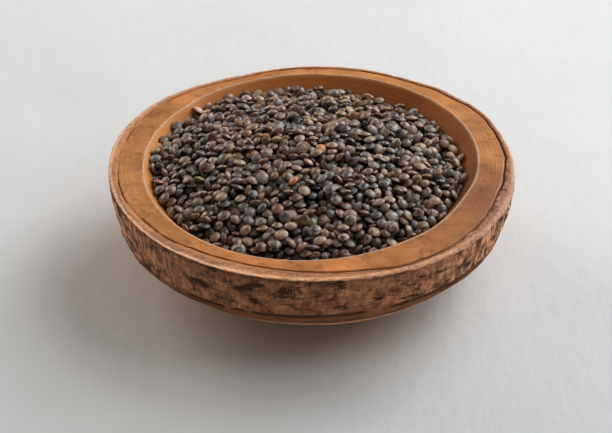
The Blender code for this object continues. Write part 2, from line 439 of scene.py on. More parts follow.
def ridge(distance, width):
    """1 on a line, fading on both sides over a width in millimetres."""
    return np.exp(-((distance / (width * MM)) ** 2))


def worked_places(piece, bowl):
    """Where the turned points go on the out-of-round bowl, with their directions, how far along the outline
    they are, where each zone starts along it, and which of them are in the groove on the rim."""
    outline = bowl_outline(bowl)
    zones, radii, heights = (np.array(column) for column in zip(*outline))
    points = points_of(piece)
    which = nearest_of_outline(points, np.column_stack([radii, heights]))
    angle = np.arctan2(points[:, 1], points[:, 0])
    sways = np.array([side_sway(zone, height) for zone, _, height in outline])
    lengths = np.concatenate([[0], np.cumsum(np.hypot(np.diff(radii), np.diff(heights)))])
    starts = {zone: lengths[np.argmax(zones == zone)] for zone in dict.fromkeys(zones)}
    middle = outline_middle(bowl)
    placed = np.zeros_like(points)
    for zone in starts:
        chosen = zones[which] == zone
        place = ZONE_PLACES.get(zone, outline_place)
        placed[chosen, :2] = place(radii[which[chosen]], angle[chosen], bowl) - middle
    placed[:, 2] = heights[which] + sways[which] * np.cos(angle - SWAY_DIRECTION)
    return placed, angle, lengths[which], starts, zones[which] == "scribe"


def work_bowl(piece, bowl):
    """Pushes the turned bowl out of round and carves its relief, and marks its zones for the finish."""
    placed, angle, along, starts, scribed = worked_places(piece, bowl)
    turn = np.column_stack([np.cos(angle), np.sin(angle), 0 * angle]) * bowl.groove_radius

    # The sides of the bowl that differ: the front, the torn right side and the left side, which the finish
    # also paints in light and shade
    front = facing(angle, -80, 45)
    torn = facing(angle, -22, 36)
    rubbed = facing(angle, 172, 48)

    # The wood's unevenness
    ragged = grain(placed, 4) * MM
    fibres = grain(placed, (1.4, 1.4, 9))
    splinters = grain(placed, (0.8, 0.8, 5), 2)
    lumps = grain(placed, (11, 11, 7))
    flakes = grain(placed, (5, 5, 2.6))
    crumbs = grain(placed, 1.5)
    scratches = grain(placed, (9, 9, 0.7), 2)
    streaks = grain(np.column_stack([turn[:, :2], along]), (10, 10, 1.0))
    ribs = grain(placed, (2.4, 2.4, 26), 2) * torn + fibres * (1 - torn)
    cracks = smooth_step(-ribs, 0.08, 0.6 - 0.25 * torn) * (0.3 + 0.7 * torn)
    flaked = smooth_step(flakes, 0.0, 0.3)
    nicks = smooth_step(grain(placed, 2.6, 2), 0.34, 0.6)
    broken = np.clip(smooth_step(grain(placed, 8), -0.4, 0.15) + facing(angle, -78, 34)
                     + 0.7 * facing(angle, 5, 30) - 0.2 * facing(angle, -36, 10), 0, 1)
    split = smooth_step(grain(turn, 10), -0.4, 0.0)

    # The zones, from the hollow to the foot, with ragged borders between lip and bark
    lip_end = starts["side"] + (1.3 * torn - 1.1) * MM
    torn_along = along + ragged * (0.3 + torn)
    hollow = 1 - smooth_step(along, starts["edge"] - MM, starts["edge"])
    rim = band(along, starts["edge"], starts["scribe"], 0.4 * MM)
    lip = band(torn_along, starts["shelf"] - 0.2 * MM, lip_end, 0.3 * MM)
    side = band(torn_along, lip_end, starts["notch"], 0.3 * MM)
    notch = band(along + ragged * 0.6, starts["notch"] - 0.3 * MM, starts["belly"] + 0.3 * MM, 0.4 * MM)
    belly = band(along, starts["belly"], starts["under"] + 4 * MM, 1.5 * MM)
    under = band(along, starts["under"], starts["foot"], 1.5 * MM)
    from_scribe = along - ((starts["scribe"] + starts["shelf"]) / 2 - 0.25 * MM)
    notch_middle = (starts["notch"] + starts["belly"]) / 2

    # The relief of each zone
    wander = grain(turn, 12) * 0.6 * MM * ridge(from_scribe, 2)
    bark_push = ((0.3 - 0.14 * front) * fibres + (0.16 - 0.08 * front) * splinters + 0.3 * lumps
                 - (0.25 + 0.35 * torn) * cracks + (0.28 - 0.14 * torn) * flaked - 0.1) * MM
    bark_push *= 1 - 0.65 * facing(angle, -165, 60)
    lip_push = ((0.12 - 0.08 * torn) * crumbs + (0.15 + 0.25 * torn) * streaks + 0.12 * lumps
                - 0.3 * torn * cracks - (0.4 - 0.3 * torn) * nicks) * MM
    belly_push = (0.22 * scratches + 0.2 * lumps) * MM
    under_push = (0.05 * np.sin(along / MM * 2.1) + 0.25 * lumps) * MM
    flat_push = (0.03 * np.sin(along / MM * 4.2 + lumps * 3) + 0.12 * lumps) * MM
    filled = notch * (1 - split) * 0.45 * MM
    placed[:, :2] += outward(angle, wander + side * bark_push + lip * lip_push + belly * belly_push
                             + under * under_push + filled + hollow * 0.04 * MM * np.sin(along / MM * 3.1))
    shallow = (1 - broken) * 0.8 * bowl.groove_depth
    lift = rim * flat_push + lip * 0.5 * lip_push + shallow * ridge(from_scribe, 0.5) * scribed
    placed[:, 2] = np.minimum(placed[:, 2] + lift, RIM + 0.25 * MM)
    move_points(piece, placed)

    # The lines, worn places and painted highlights and shadows that only the finish shows
    shelf_line = ridge(along - starts["shelf"] + 0.1 * MM, 0.25) * 0.7 * facing(angle, -78, 40)
    scribe_line = ridge(from_scribe, 0.8) * (0.15 + 0.85 * broken) * (1 - 0.5 * rubbed)
    second_line = ridge(along - starts["shelf"] - 0.9 * MM + 0.5 * ragged, 0.25)
    second_line *= smooth_step(crumbs + lumps, -0.1, 0.4) * (0.25 + 0.6 * facing(angle, -150, 55))
    notch_line = ridge(along + 0.4 * ragged - notch_middle, 0.95) * (0.15 + 0.85 * split)
    # Painted shadow line just under the lip, weaker on the torn side
    under_lip_shadow = ridge(along - lip_end - 0.6 * MM, 0.7) * (0.6 - 0.5 * torn)
    strip = ridge(along + 0.3 * ragged - starts["shelf"] - 0.5 * MM, 0.42) * (1 - 0.7 * rubbed)
    # Painted highlight along the lip's rounded top, fainter on the torn side
    crest = ridge(along - starts["side"] + 1.5 * MM, 1.7) * (1 - 0.6 * torn)
    # Painted highlight where the belly turns under, lit from the floor
    foot_edge = ridge(along - starts["under"] + 3.4 * MM, 1.6)
    # The pale line along the hollow's edge: worn wood with a painted highlight on it
    wear = ridge(along - starts["edge"] - 0.45 * MM, 0.36)
    # The dark lines: the grooves' lines and the painted shadow under the lip
    dark = scribe_line + shelf_line + second_line + under_lip_shadow * side + notch_line
    # Among these marks, one sets where the rim is painted darker towards the right front, as shade
    set_attributes(piece, rim=rim, lip=lip, bark=side, belly=belly, crack=cracks, torn=torn,
                   crest=np.clip(crest * (0.75 + crumbs), 0, 1), foot_edge=foot_edge, wear=wear,
                   dark=np.clip(dark, 0, 1), front=front, strip=strip, notch=notch,
                   dusk=facing(angle, -38, 33), rubbed=rubbed, streak=0.5 + 0.5 * streaks)


# ---- Materials ----

class Finish:
    """A node material under construction around one Principled shader."""

    def __init__(self, name):
        self.material = bpy.data.materials.new(name)
        self.material.use_nodes = True
        self.tree = self.material.node_tree
        self.shader = self.tree.nodes["Principled BSDF"]
        self.object_place = self.node("ShaderNodeTexCoord").outputs["Object"]

    def node(self, kind, inputs=(), **settings):
        """Adds a node, with its settings and then its inputs by name or number."""
        made = self.tree.nodes.new(kind)
        for key, value in settings.items():
            setattr(made, key, value)
        for key, value in dict(inputs).items():
            self.feed(made.inputs[key], value)
        return made

    def feed(self, socket, value):
        """Links a socket, or sets a plain value or colour on it."""
        if isinstance(value, bpy.types.NodeSocket):
            self.tree.links.new(value, socket)
        elif socket.type == "RGBA":
            socket.default_value = (*value, 1)
        else:
            socket.default_value = value

    def noise(self, size, detail=3.0, roughness=0.55, distortion=0.0):
        """Noise with features of a size in millimetres, or of three sizes along X, Y and Z."""
        scale = [1 / (length * MM) for length in np.broadcast_to(size, 3)]
        mapping = self.node("ShaderNodeMapping", {"Vector": self.object_place, "Scale": scale})
        inputs = {"Vector": mapping.outputs["Vector"], "Scale": 1.0, "Detail": detail, "Roughness": roughness,
                  "Distortion": distortion}
        return self.node("ShaderNodeTexNoise", inputs).outputs["Fac"]

    def remap(self, value, low, high, new_low=0.0, new_high=1.0):
        inputs = {"Value": value, "From Min": low, "From Max": high, "To Min": new_low, "To Max": new_high}
        return self.node("ShaderNodeMapRange", inputs, interpolation_type="SMOOTHSTEP").outputs["Result"]

    def math(self, operation, first, second, clamp=False):
        made = self.node("ShaderNodeMath", {0: first, 1: second}, operation=operation, use_clamp=clamp)
        return made.outputs["Value"]

    def plus(self, first, second, clamp=False):
        return self.math("ADD", first, second, clamp)

    def times(self, first, second):
        return self.math("MULTIPLY", first, second)

    def zone(self, name, strength=1.0):
        """How much of a zone a place is, times a strength."""
        share = self.node("ShaderNodeAttribute", attribute_name=name).outputs["Fac"]
        return share if strength == 1.0 else self.times(share, strength)

    def mix(self, share, first, second, blend="MIX"):
        made = self.node("ShaderNodeMix", {0: share, 6: first, 7: second}, data_type="RGBA", blend_type=blend)
        return made.outputs[2]

    def coats(self, tone, *coats):
        """Lays coats over a tone one after another, each as (its share, its colour)."""
        for share, colour in coats:
            tone = self.mix(share, tone, colour)
        return tone

    def tinted(self, tone, **tints):
        """Multiplies a tone by the tint of each zone, within that zone."""
        for zone, tint in tints.items():
            tone = self.mix(self.zone(zone), tone, self.mix(1.0, tone, tint, "MULTIPLY"))
        return tone

    def ramp(self, value, *stops):
        made = self.node("ShaderNodeValToRGB", {"Fac": value})
        elements = made.color_ramp.elements
        while len(elements) < len(stops):
            elements.new(0.5)
        for element, (position, colour) in zip(elements, stops):
            element.position = position
            element.color = (*colour, 1)
        return made.outputs["Color"]

    def finished(self, tone, roughness, height, depth, specular=0.5):
        """Gives the shader its colour, roughness and gloss, and a relief of a depth in millimetres."""
        relief = self.node("ShaderNodeBump", {"Height": height, "Distance": depth * MM, "Strength": 1.0})
        for name, value in (("Base Color", tone), ("Roughness", roughness), ("Specular IOR Level", specular),
                            ("Normal", relief.outputs["Normal"])):
            self.feed(self.shader.inputs[name], value)
        return self.material


def shade(colour, factor, warm=0.0):
    """A colour made lighter or darker, and a little redder."""
    return (colour[0] * factor * (1 + warm), colour[1] * factor, colour[2] * factor * (1 - warm))


def turning_lines(finish, pitch):
    """Fine uneven lines around the upright axis, as turning leaves them."""
    split = finish.node("ShaderNodeSeparateXYZ", {0: finish.object_place}).outputs
    flat = finish.node("ShaderNodeCombineXYZ", {0: split[0], 1: split[1]}).outputs[0]
    reach = finish.node("ShaderNodeVectorMath", {0: flat}, operation="LENGTH").outputs["Value"]
    inputs = {"W": reach, "Scale": 1 / (pitch * MM), "Detail": 2.0}
    return finish.node("ShaderNodeTexNoise", inputs, noise_dimensions="1D").outputs["Fac"]


def smooth_tone(finish, bowl, lines, pores, smudges):
    """Oiled wood on the rim, and plainer wood down the hollow, both with painted light and shade on their
    sides.
    """
    rim, hollow = bowl.rim_colour, bowl.hollow_colour
    clouds = finish.noise(15, 4)
    streaks = finish.noise((30, 2.4, 30), 4, distortion=0.4)
    chalk = finish.remap(finish.noise(2.4, 5, 0.75), 0.54, 0.68, 0.0, 0.4)
    rim_tone = finish.coats(
        finish.ramp(clouds, (0.34, shade(rim, 0.72, 0.05)), (0.5, rim), (0.66, shade(rim, 1.25, 0.03))),
        (finish.remap(lines, 0.4, 0.75, 0.0, 0.3), shade(rim, 0.6, 0.1)),
        (finish.remap(streaks, 0.52, 0.72, 0.0, 0.5), shade(rim, 0.5, 0.1)),
        (finish.remap(smudges, 0.52, 0.68, 0.0, 0.7), shade(rim, 0.42)),
        (finish.remap(pores, 0.6, 0.75, 0.0, 0.4), shade(rim, 0.45)))
    # Painted light and shade on the rim: darker towards the right front and on the torn right side, lighter
    # at the front, a little darker on the left
    rim_tone = finish.tinted(rim_tone, dusk=(0.6, 0.62, 0.7), front=(1.24, 1.14, 1.1),
                             rubbed=(0.86, 0.84, 0.86), torn=(0.9, 0.86, 0.95))
    rim_tone = finish.mix(finish.times(chalk, finish.zone("rubbed")), rim_tone, bowl.wear_and_highlight_colour)
    hollow_tone = finish.coats(
        finish.ramp(clouds, (0.3, shade(hollow, 0.85)), (0.7, shade(hollow, 1.12))),
        (finish.remap(streaks, 0.52, 0.75, 0.0, 0.3), shade(hollow, 0.6, 0.1)),
        # Painted shade: the hollow's wall is darker on the torn right side, which faces away from the light
        (finish.zone("torn", 0.9), shade(hollow, 0.4)),
        # Painted light: the hollow's wall on the left, which the light falls on, is a paler orange
        (finish.zone("rubbed", 0.8), shade(rim, 1.25)))
    return finish.mix(finish.zone("rim"), hollow_tone, rim_tone)


def lip_tone(finish, bowl, crumbs, fibres):
    """Pale worn wood, fibrous where it is torn, with a painted highlight along its rounded top and a darker
    strip by the groove.
    """
    lip, bark = bowl.lip_colour, bowl.bark_colour
    uneven = finish.plus(finish.times(crumbs, 0.35), finish.zone("streak", 0.65))
    worn = finish.ramp(uneven, (0.34, shade(lip, 0.5, 0.06)), (0.5, shade(lip, 0.92)),
                       (0.64, shade(lip, 1.2, -0.04)))
    fibrous = finish.ramp(fibres, (0.36, shade(lip, 0.4)), (0.6, shade(lip, 1.2, -0.06)))
    dirty = finish.ramp(crumbs, (0.4, shade(bark, 0.5)), (0.62, shade(bark, 1.3, 0.05)))
    tone = finish.coats(worn, (finish.zone("torn", 0.5), fibrous),
                        (finish.zone("crest", 0.9), CREST_HIGHLIGHT), (finish.zone("strip", 0.8), dirty))
    # Painted light: the lip is lighter at the front, where it catches the light; the bluer tint on the torn
    # side is the wood's own
    return finish.tinted(tone, front=(1.3, 1.25, 1.2), torn=(0.9, 0.95, 1.15))


def bark_tone(finish, bowl, fibres, splinters):
    """Rough bark in clumps, ribs and dark blotches, paler on the left and the torn right side as painted
    light, with painted shade in its cracks.
    """
    lip, bark, stain_and_shade = bowl.lip_colour, bowl.bark_colour, bowl.stain_and_shade_colour
    clumps = finish.noise((5, 5, 3.2), 4, 0.65, 0.4)
    patches = finish.noise((9, 9, 5), 4, 0.6, 0.4)
    strokes = finish.noise((4.5, 4.5, 0.6), 4, 0.6)
    columns = finish.noise((3.6, 3.6, 30), 3, 0.6)
    clefts = finish.remap(finish.noise((2.2, 2.2, 26), 3, 0.6), 0.52, 0.59, 0.0, 0.9)
    off_front = finish.math("SUBTRACT", 1.0, finish.zone("front", 0.8))
    ribs = finish.mix(finish.zone("torn"), shade(bark, 1.7, -0.03), shade(lip, 1.25, -0.05))
    tone = finish.coats(
        finish.ramp(clumps, (0.36, shade(bark, 0.6)), (0.5, shade(bark, 1.05)), (0.64, shade(bark, 1.75))),
        (finish.times(finish.remap(fibres, 0.48, 0.62), off_front), ribs),
        (finish.times(finish.remap(fibres, 0.48, 0.34, 0.0, 0.8), off_front), stain_and_shade),
        (finish.times(finish.remap(columns, 0.52, 0.64, 0.0, 0.75), off_front), shade(bark, 0.4)),
        (finish.remap(splinters, 0.52, 0.7, 0.0, 0.35), shade(bark, 0.42)))
    # Painted light: the bark is paler on the left side and on the torn right side
    tone = finish.tinted(tone, rubbed=(2.2, 2.6, 3.0), torn=(2.0, 2.25, 2.45))
    strokes = finish.times(finish.math("SUBTRACT", strokes, 0.5), finish.zone("front"))
    blotches = finish.plus(patches, finish.times(strokes, 0.75))
    blotches = finish.plus(blotches, finish.times(finish.math("SUBTRACT", splinters, 0.5), 0.25))
    # Painted shade darkens the clefts on the torn side and the bark's cracks; the blotches are the bark's own
    return finish.coats(
        tone,
        (finish.times(clefts, finish.zone("torn")), shade(stain_and_shade, 1.8)),
        (finish.remap(blotches, 0.48, 0.66, 0.0, 0.96), stain_and_shade),
        (finish.zone("crack", 0.9), stain_and_shade))


def belly_tone(finish, bowl):
    """Reddish wood scratched around, with a painted highlight along the edge over the foot."""
    belly = bowl.belly_colour
    scratches = finish.noise((12, 12, 0.8), 4, 0.6)
    tone = finish.ramp(scratches, (0.4, shade(belly, 0.3)), (0.54, shade(belly, 0.85)),
                       (0.7, shade(belly, 1.2)))
    return finish.mix(finish.zone("foot_edge"), tone, shade(bowl.lip_colour, 1.8))


def wood_finish(bowl):
    """The bowl's wood in all its zones, from the hollow over rim, lip and bark to the belly."""
    finish = Finish("worn_bowl_wood")
    lines = turning_lines(finish, 0.8)
    pores = finish.noise(0.5, 2)
    smudges = finish.noise(6, 5, 0.68)
    crumbs = finish.noise(1.3, 4, 0.65)
    fibres = finish.noise((1.1, 1.1, 8), 4, 0.6)
    splinters = finish.noise((0.45, 0.45, 4), 3)
    # The hollow's edge is painted pale: worn wood and a painted highlight
    wear = finish.times(finish.zone("wear"), finish.remap(crumbs, 0.35, 0.6, 0.35, 0.95))
    tone = finish.coats(
        smooth_tone(finish, bowl, lines, pores, smudges),
        (finish.zone("lip"), lip_tone(finish, bowl, crumbs, fibres)),
        (finish.zone("bark"), bark_tone(finish, bowl, fibres, splinters)),
        (finish.zone("notch"), shade(bowl.bark_colour, 1.1, 0.05)),
        (finish.zone("belly"), belly_tone(finish, bowl)),
        (wear, bowl.wear_and_highlight_colour),
        # The dark coat: the grooves' dark lines and the painted shadow line under the lip
        (finish.zone("dark", 0.96), bowl.stain_and_shade_colour))

    rough_wood = finish.plus(finish.zone("bark"), finish.zone("belly"), clamp=True)
    roughness = finish.plus(finish.remap(smudges, 0.3, 0.7, 0.4, 0.58),
                            finish.remap(finish.zone("rim"), 0.0, 1.0, 0.25, 0.0))
    roughness = finish.plus(roughness, finish.times(rough_wood, 0.1))
    smooth_height = finish.times(finish.plus(lines, pores), 0.25)
    rough_height = finish.plus(fibres, finish.plus(splinters, crumbs))
    rough_share = finish.plus(rough_wood, finish.zone("lip"), clamp=True)
    height = finish.mix(rough_share, smooth_height, rough_height)
    return finish.finished(tone, roughness, height, 0.3, specular=0.18)


def lentil_finish(name, colour, speckle, edge_share):
    """A satin seed coat: its own tone for each lentil, mottled, speckled dark and browner at its edge, and
    painted nearly black as shade the further it lies under its neighbours.
    """
    finish = Finish(name)
    tone = finish.zone("tone")
    mottle = finish.noise(2.4, 4, 0.65)
    specks = finish.noise(1.5, 3, 0.6)
    body = finish.ramp(tone, (0.0, shade(colour, 0.5, 0.04)), (0.35, shade(colour, 0.85, 0.02)),
                       (0.65, shade(colour, 1.2)), (1.0, shade(colour, 1.7, 0.04)))
    marbling = finish.ramp(mottle, (0.36, (0.34, 0.32, 0.32)), (0.5, (0.95, 0.95, 0.95)), (0.66, (1, 1, 1)))
    speckled = finish.times(finish.remap(specks, 0.51, 0.55), finish.zone("speckle"))
    body = finish.coats(
        finish.mix(1.0, body, marbling, "MULTIPLY"),
        (finish.remap(mottle, 0.5, 0.66, 0.0, 0.6), shade(colour, 1.8, 0.04)),
        (finish.zone("edge", edge_share), finish.mix(tone, DARK_EDGE, PALE_EDGE)),
        (finish.times(speckled, speckle), SPECKLE),
        # Painted shade: lentils lying well under their neighbours are darkened almost to black
        (finish.zone("deep", 0.93), shade(colour, 0.06)))
    roughness = finish.remap(mottle, 0.3, 0.7, 0.34, 0.48)
    return finish.finished(body, roughness, finish.plus(specks, mottle), 0.2, specular=0.8)


def core_finish(lentils):
    """The lentils far down in the heap, painted nearly black as the shade in the gaps between the loose ones.
    """
    finish = Finish("deep_lentils")
    cells = finish.noise(3.5, 2)
    # Painted shade: the core's colours are nearly black
    tone = finish.ramp(cells, (0.35, shade(lentils.brown, 0.06)), (0.7, shade(lentils.slate, 0.2)))
    return finish.finished(tone, finish.remap(cells, 0.3, 0.7, 0.6, 0.8), cells, 0.5)


def plaster_finish(stage):
    """Pale plaster with broad blotches and the marks of a trowel."""
    finish = Finish("pale_plaster")
    colour = stage.floor_colour
    trowel = finish.noise((6, 14, 6), 4)
    tone = finish.ramp(finish.noise(60, 4), (0.35, shade(colour, 0.97)), (0.65, shade(colour, 1.02)))
    return finish.finished(tone, finish.remap(trowel, 0.3, 0.7, 0.6, 0.8), trowel, 0.25)


# ---- The heap ----

def heap_height(place, lentils):
    """The smooth top of the heap over places in plan."""
    away = np.linalg.norm(place - OPENING_SHIFT, axis=-1) / HEAP_REACH
    slope = lentils.lean * place[..., 0] + lentils.lean_back * place[..., 1]
    return RIM + lentils.peak - lentils.drop * away ** 1.7 + slope


def contact(angle, bowl, lentils, sunk=0.0, inset=0.0):
    """Where the heap's top, sunk by so much, meets the wall: nominal radius and height."""
    height = np.full_like(angle, RIM - 5 * MM)
    for _ in range(12):
        radius = wall_radius(height, bowl, inset)
        height = heap_height(opening_place(radius, angle, bowl), lentils) - sunk
    return radius, height


def core_outline(bowl, lentils):
    """A first round outline of the core: its domed top, then its side and its floor."""
    radius, height = contact(np.array([math.pi / 2]), bowl, lentils, lentils.cover, CORE_INSET)
    top = [(radius[0] * k / 16, height[0] + 3 * MM * (1 - k / 16)) for k in range(17)]
    side = [point for point in hollow_side(bowl, CORE_INSET) if point[1] < height[0] - MM]
    return top, side


def work_core(piece, bowl, lentils):
    """Lifts the core's top to follow the heap, with the bumps of lentils lying under those on top."""
    top, side = core_outline(bowl, lentils)
    points = points_of(piece)
    which = nearest_of_outline(points, top + side)
    angle = np.arctan2(points[:, 1], points[:, 0])
    middle = outline_middle(bowl)
    on_top = which < len(top)
    edge, _ = contact(angle, bowl, lentils, lentils.cover, CORE_INSET)
    share = which / (len(top) - 1)
    radius = np.where(on_top, edge * share, np.hypot(points[:, 0], points[:, 1]))
    place = opening_place(radius, angle, bowl)
    height = heap_height(place, lentils) - lentils.cover
    bumps = grain(np.column_stack([place, height * 0]), 3.4, 2) * 0.7 * MM
    height = height + bumps * np.clip(4 * (1 - share), 0, 1)
    placed = np.column_stack([place - middle, np.where(on_top, height, points[:, 2])])
    move_points(piece, placed)


def basin(bowl, lentils):
    """What the lentils come to rest on: the core's top, the wall above it, the rim and a fence outside it."""
    steps = 72
    angle = np.linspace(0, 2 * math.pi, steps, endpoint=False)
    middle = outline_middle(bowl)
    edge, _ = contact(angle, bowl, lentils, lentils.cover)
    rings = []
    for share in np.linspace(0.02, 1, 14):
        place = opening_place(edge * share, angle, bowl)
        rings.append((place, heap_height(place, lentils) - lentils.cover))
    rings.append((opening_place(bowl.opening_radius, angle, bowl), np.full(steps, RIM)))
    rings.append((outline_place(bowl.lip_radius, angle, bowl), np.full(steps, RIM + 2 * MM)))
    rings.append((outline_place(bowl.lip_radius * 1.2, angle, bowl), np.full(steps, RIM + 12 * MM)))
    points = np.concatenate([np.column_stack([place - middle, height]) for place, height in rings])
    faces = []
    for ring in range(len(rings) - 1):
        for k in range(steps):
            near, after = ring * steps + k, ring * steps + (k + 1) % steps
            faces.append((near, after, after + steps, near + steps))
    mesh = bpy.data.meshes.new("basin")
    mesh.from_pydata((points * SETTLING_SCALE).tolist(), [], faces)
    made = bpy.data.objects.new("basin", mesh)
    bpy.context.scene.collection.objects.link(made)
    return made


def select_points(piece, wanted):
    """Selects a piece's points in edit mode by a test on their place."""
    bpy.ops.object.mode_set(mode="OBJECT")
    for part in (*piece.data.polygons, *piece.data.edges):
        part.select = False
    for point in piece.data.vertices:
        point.select = bool(wanted(point.co))
    bpy.ops.object.mode_set(mode="EDIT")


def model_lentil(lentils, name, width, thickness, oval, blunt, dent):
    """One lentil: a ball's rings drawn out to a lens with a rounded edge, and perhaps one face dented."""
    deselect_all()
    bpy.ops.mesh.primitive_uv_sphere_add(segments=14, ring_count=6, radius=0.5)
    piece = bpy.context.object
    piece.name = f"lentil_{name}"
    bpy.ops.object.mode_set(mode="EDIT")
    bpy.ops.mesh.select_mode(type="VERT")
    select_points(piece, lambda p: 0.1 < abs(p.z) < 0.4)
    bpy.ops.transform.resize(value=(1.07, 1.07, 0.42 * blunt))
    select_points(piece, lambda p: 0.4 < abs(p.z) < 0.49)
    bpy.ops.transform.resize(value=(1.2, 1.2, 0.8))
    if dent:
        select_points(piece, lambda p: p.z > 0.3 and p.x > -0.2)
        bpy.ops.transform.translate(value=(0, 0, -dent))
    bpy.ops.mesh.select_all(action="SELECT")
    across = lentils.width * width
    bpy.ops.transform.resize(value=(across, across * oval, lentils.thickness * thickness))
    bpy.ops.object.mode_set(mode="OBJECT")
    bpy.ops.object.shade_smooth()
    points = points_of(piece)
    height = np.abs(points[:, 2]) / (lentils.thickness * thickness * 0.5)
    set_attributes(piece, edge=smooth_step(1 - height, 0.45, 1.0))
    return piece


def dropped_places(lentils, bowl, draw):
    """Start places for the lentils: loose layers over the core, a little above each other."""
    pitch = lentils.width * 1.1
    reach = int(bowl.opening_radius / pitch) + 2
    middle = outline_middle(bowl)
    places = []
    for layer in range(lentils.layers):
        shift = draw.uniform(-pitch / 2, pitch / 2, 2)
        for i in range(-reach, reach + 1):
            for j in range(-reach, reach + 1):
                plan = np.array(((i + 0.5 * (j % 2)) * pitch, j * pitch * 0.866)) + shift
                plan += draw.uniform(-0.1, 0.1, 2) * MM
                lift = (FIRST_LIFT + layer * LAYER_LIFT) * MM + draw.uniform(-0.1, 0.1) * MM
                direction = np.array([math.atan2(plan[1], plan[0])])
                edge, _ = contact(direction, bowl, lentils, lentils.cover - lift)
                wall = np.linalg.norm(opening_place(edge[0], direction, bowl) - OPENING_SHIFT)
                if np.linalg.norm(plan) > min(wall, bowl.opening_radius - 1.5 * MM) - 2.6 * MM:
                    continue
                place = plan + OPENING_SHIFT
                height = heap_height(place, lentils) - lentils.cover + lift
                places.append(Vector((*(place - middle), height)))
    return places


def lies_in_heap(place, bowl, lentils):
    """Whether a lentil has stayed in the hollow and near the heap's top."""
    plan = np.array(place.xy) + outline_middle(bowl)
    over = place.z - (heap_height(plan, lentils) - lentils.cover)
    near = np.linalg.norm(plan - OPENING_SHIFT) < bowl.opening_radius - 2 * MM
    return near and -MM < over < lentils.cover + 0.8 * MM


def settled(lentils, bowl, shapes):
    """Drops the lentils and lets them settle: a list of (which shape, size share, resting place)."""
    draw = np.random.default_rng(lentils.seed)
    ground = basin(bowl, lentils)
    bodies = []
    for place in dropped_places(lentils, bowl, draw):
        shape = int(draw.integers(len(shapes)))
        size = float(np.clip(draw.normal(1, lentils.spread), 0.78, 1.2))
        mesh = shapes[shape].data.copy()
        mesh.transform(Matrix.Scale(size * SETTLING_SCALE, 4))
        body = bpy.data.objects.new("settling", mesh)
        body.location = place * SETTLING_SCALE
        body.rotation_euler = (draw.normal(0, 0.14), draw.normal(0, 0.14), draw.uniform(0, 2 * math.pi))
        bpy.context.scene.collection.objects.link(body)
        bodies.append((body, shape, size))

    scene = bpy.context.scene
    bpy.ops.rigidbody.world_add()
    world = scene.rigidbody_world
    world.substeps_per_frame = 6
    world.solver_iterations = 12
    world.point_cache.frame_start = 1
    world.point_cache.frame_end = lentils.frames + 1
    scene.gravity = (0, 0, -SETTLING_GRAVITY)
    make_active(ground)
    bpy.ops.rigidbody.objects_add(type="PASSIVE")
    ground.rigid_body.collision_shape = "MESH"
    ground.rigid_body.friction = 1.0
    ground.rigid_body.collision_margin = 0.01
    make_active(bodies[0][0])
    for body, _, _ in bodies:
        body.select_set(True)
    bpy.ops.rigidbody.objects_add(type="ACTIVE")
    for body, _, _ in bodies:
        for rule, value in LOOSE_BODY.items():
            setattr(body.rigid_body, rule, value)
    for step in range(1, lentils.frames + 1):
        scene.frame_set(step)

    shrink = Matrix.Scale(1 / SETTLING_SCALE, 4)
    found = []
    for body, shape, size in bodies:
        rest = shrink @ body.matrix_world @ Matrix.Scale(size * SETTLING_SCALE, 4)
        if lies_in_heap(rest.translation, bowl, lentils):
            found.append((shape, size, rest))
    bpy.ops.rigidbody.world_remove()
    for body, _, _ in bodies:
        mesh = body.data
        bpy.data.objects.remove(body)
        bpy.data.meshes.remove(mesh)
    bpy.data.objects.remove(ground)
    scene.frame_set(1)
    return found


def buried(resting):
    """From 0 for the lentils on top to 1 for those well under their neighbours: how much painted shade each
    lentil gets.
    """
    places = np.array([place.translation for _, _, place in resting])
    away = np.linalg.norm(places[:, None, :2] - places[None, :, :2], axis=2)
    top = np.where(away < 4 * MM, places[None, :, 2], -1).max(axis=1)
    return smooth_step(top - places[:, 2], 0.8 * MM, 2.8 * MM)


def gather(name, shapes, chosen, draw):
    """Copies lentils to their resting places, each with its own mesh and tone, and joins them."""
    copies = []
    for (shape, _, place), depth in chosen:
        mesh = shapes[shape].data.copy()
        squeeze = Matrix.Diagonal((*draw.uniform(0.95, 1.05, 2), draw.uniform(0.92, 1.08), 1))
        mesh.transform(place @ squeeze)
        copy = bpy.data.objects.new(name, mesh)
        bpy.context.scene.collection.objects.link(copy)
        everywhere = np.ones(len(mesh.vertices))
        # Each copy also carries how far it lies under its neighbours, for the shade painted in its finish
        set_attributes(copy, tone=everywhere * draw.beta(1.7, 1.7),
                       speckle=everywhere * draw.uniform(0, 1) ** 0.7, deep=everywhere * depth)
        copies.append(copy)
    make_active(copies[0])
    for copy in copies:
        copy.select_set(True)
    bpy.ops.object.join()
    piece = bpy.context.object
    piece.name = name
    piece.data.name = name
    return piece


def belongs(piece, node, material):
    """Gives a piece its finish, hangs it on the frame's root body and hides the imported part that it takes
    the place of.
    """
    piece.data.materials.clear()
    piece.data.materials.append(material)
    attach(piece, "root")
    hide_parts(node)


def soft_light(target, direction, height, power, colour, stage):
    """A round soft light that looks at the bowl."""
    light = bpy.data.lights.new("panel", "AREA")
    light.shape = "DISK"
    light.size = stage.panel_size
    light.energy = power
    light.color = colour
    lamp = bpy.data.objects.new("panel", light)
    flat = math.cos(height)
    away = Vector((flat * math.cos(direction), flat * math.sin(direction), math.sin(height)))
    lamp.location = target + stage.panel_distance * away
    lamp.rotation_euler = (-away).to_track_quat("-Z", "Y").to_euler()
    bpy.context.scene.collection.objects.link(lamp)


# ---- Operators ----

